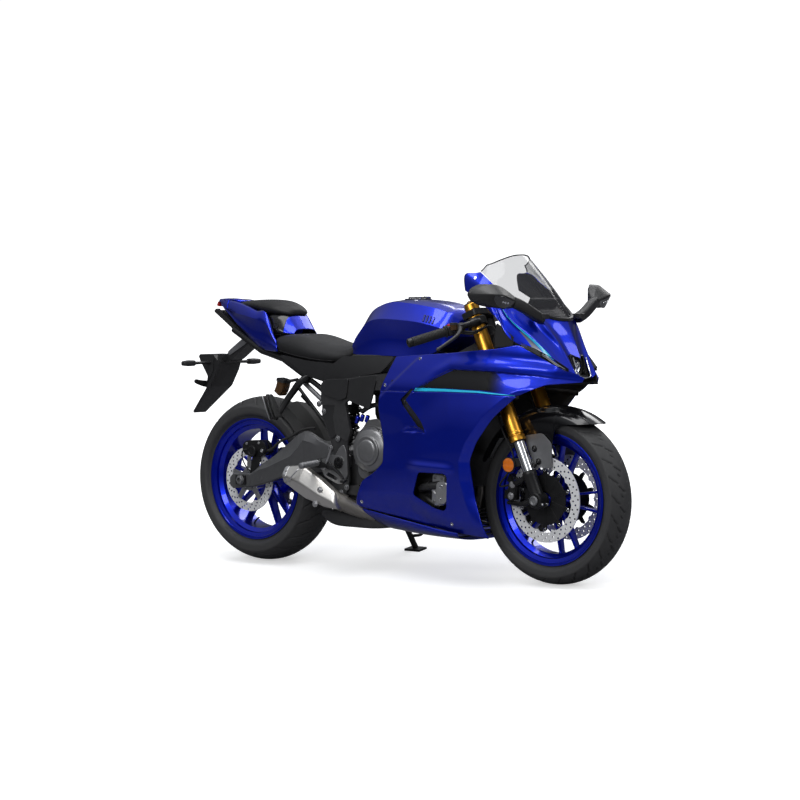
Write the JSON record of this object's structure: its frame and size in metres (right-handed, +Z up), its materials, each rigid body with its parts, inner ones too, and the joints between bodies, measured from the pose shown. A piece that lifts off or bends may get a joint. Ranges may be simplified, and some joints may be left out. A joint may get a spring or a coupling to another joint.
{
  "type": "sport bike",
  "caption": "Full-fairing sport motorcycle parked on its side stand, with turning wheels, steering, a folding stand and a hinged fuel lid.",
  "frame": {"origin": "centre of the bounding box on the floor that the tyres and the side stand rest on", "axes": "+X forwards, +Y to the rider's left, +Z up; the bike leans 10 degrees to +Y on its side stand"},
  "size_m": [2.0669, 0.7404, 1.1404],
  "materials": {
    "tyre": "satin",
    "blue_metal": "gloss",
    "blue_body": "gloss",
    "satin_black": "satin",
    "gloss_black": "gloss",
    "black_metal": "satin",
    "grey_alloy": "satin",
    "engine_alloy": "satin",
    "disc_steel": "brushed",
    "chain_steel": "satin",
    "muffler_steel": "brushed",
    "gold": "gloss",
    "chrome": "polished",
    "seat": "matte",
    "rubber": "matte",
    "screen": "gloss",
    "lamp_glass": "gloss",
    "red_lens": "gloss",
    "fender": "gloss"
  },
  "bodies": {
    "chassis": {"belly_cowl": "blue_body", "cockpit_cover": "satin_black", "cowl_stay": "black_metal", "drive_chain": "chain_steel", "engine_block": "engine_alloy", "engine_covers": "engine_alloy", "exhaust_pipes": "muffler_steel", "fairing_stays": "black_metal", "filler_ring": "grey_alloy", "fuel_tank": "blue_body", "headlamp": "lamp_glass", "hugger": "satin_black", "hump_cover": "gloss_black", "instrument": "satin_black", "lower_fairing": "blue_body", "main_frame": "black_metal", "mirrors": "satin_black", "muffler": "muffler_steel", "nose_cowl": "blue_body", "nose_lip": "gloss_black", "passenger_footrests": "black_metal", "passenger_seat": "seat", "plate_holder": "satin_black", "position_lamps": "lamp_glass", "radiator": "engine_alloy", "rear_axle": "black_metal", "rear_caliper": "black_metal", "rear_indicators": "satin_black", "rear_shock": "black_metal", "rider_footrests": "grey_alloy", "rider_seat": "seat", "seat_rail": "black_metal", "side_covers": "satin_black", "swingarm": "grey_alloy", "tail_cowl": "blue_body", "tail_lamp": "red_lens", "undertray": "satin_black", "upper_fairing": "blue_body", "windscreen": "screen"},
    "front_wheel": {"front_tyre": "tyre", "front_rim": "blue_metal", "front_discs": "disc_steel"},
    "rear_wheel": {"rear_tyre": "tyre", "rear_rim": "blue_metal", "rear_disc": "disc_steel", "rear_sprocket": "chain_steel"},
    "steering": {"triple_clamps": "black_metal", "fork_outers": "gold", "fork_inners": "chrome", "fork_feet": "black_metal", "front_axle": "grey_alloy", "front_calipers": "black_metal", "front_fender": "fender", "fender_stays": "grey_alloy", "handlebars": "black_metal", "grips": "rubber", "controls": "satin_black"},
    "side_stand": {"side_stand": "black_metal"},
    "fuel_cap": {"fuel_cap": "grey_alloy"}
  },
  "joints": [
    {"name": "steering", "type": "hinge", "parent": "chassis", "child": "steering", "pos_m": [0.46174, -0.01115, 0.81351], "axis": [-0.4019, 0.159, 0.9018], "range_deg": [-27, 27]},
    {"name": "front_wheel_spin", "type": "hinge", "parent": "steering", "child": "front_wheel", "pos_m": [0.73349, -0.10216, 0.29737], "axis": [0, 0.9848, -0.1736], "continuous": true},
    {"name": "rear_wheel_spin", "type": "hinge", "parent": "chassis", "child": "rear_wheel", "pos_m": [-0.66151, -0.09956, 0.31215], "axis": [0, 0.9848, -0.1736], "continuous": true},
    {"name": "side_stand_fold", "type": "hinge", "parent": "chassis", "child": "side_stand", "pos_m": [-0.17951, 0.05246, 0.25285], "axis": [0.1273, 0.9517, 0.2793], "range_deg": [0, 96.9]},
    {"name": "fuel_cap_lid", "type": "hinge", "parent": "chassis", "child": "fuel_cap", "pos_m": [0.14899, 0.02017, 0.99112], "axis": [0, 0.9848, -0.1736], "range_deg": [0, 95]}
  ]
}
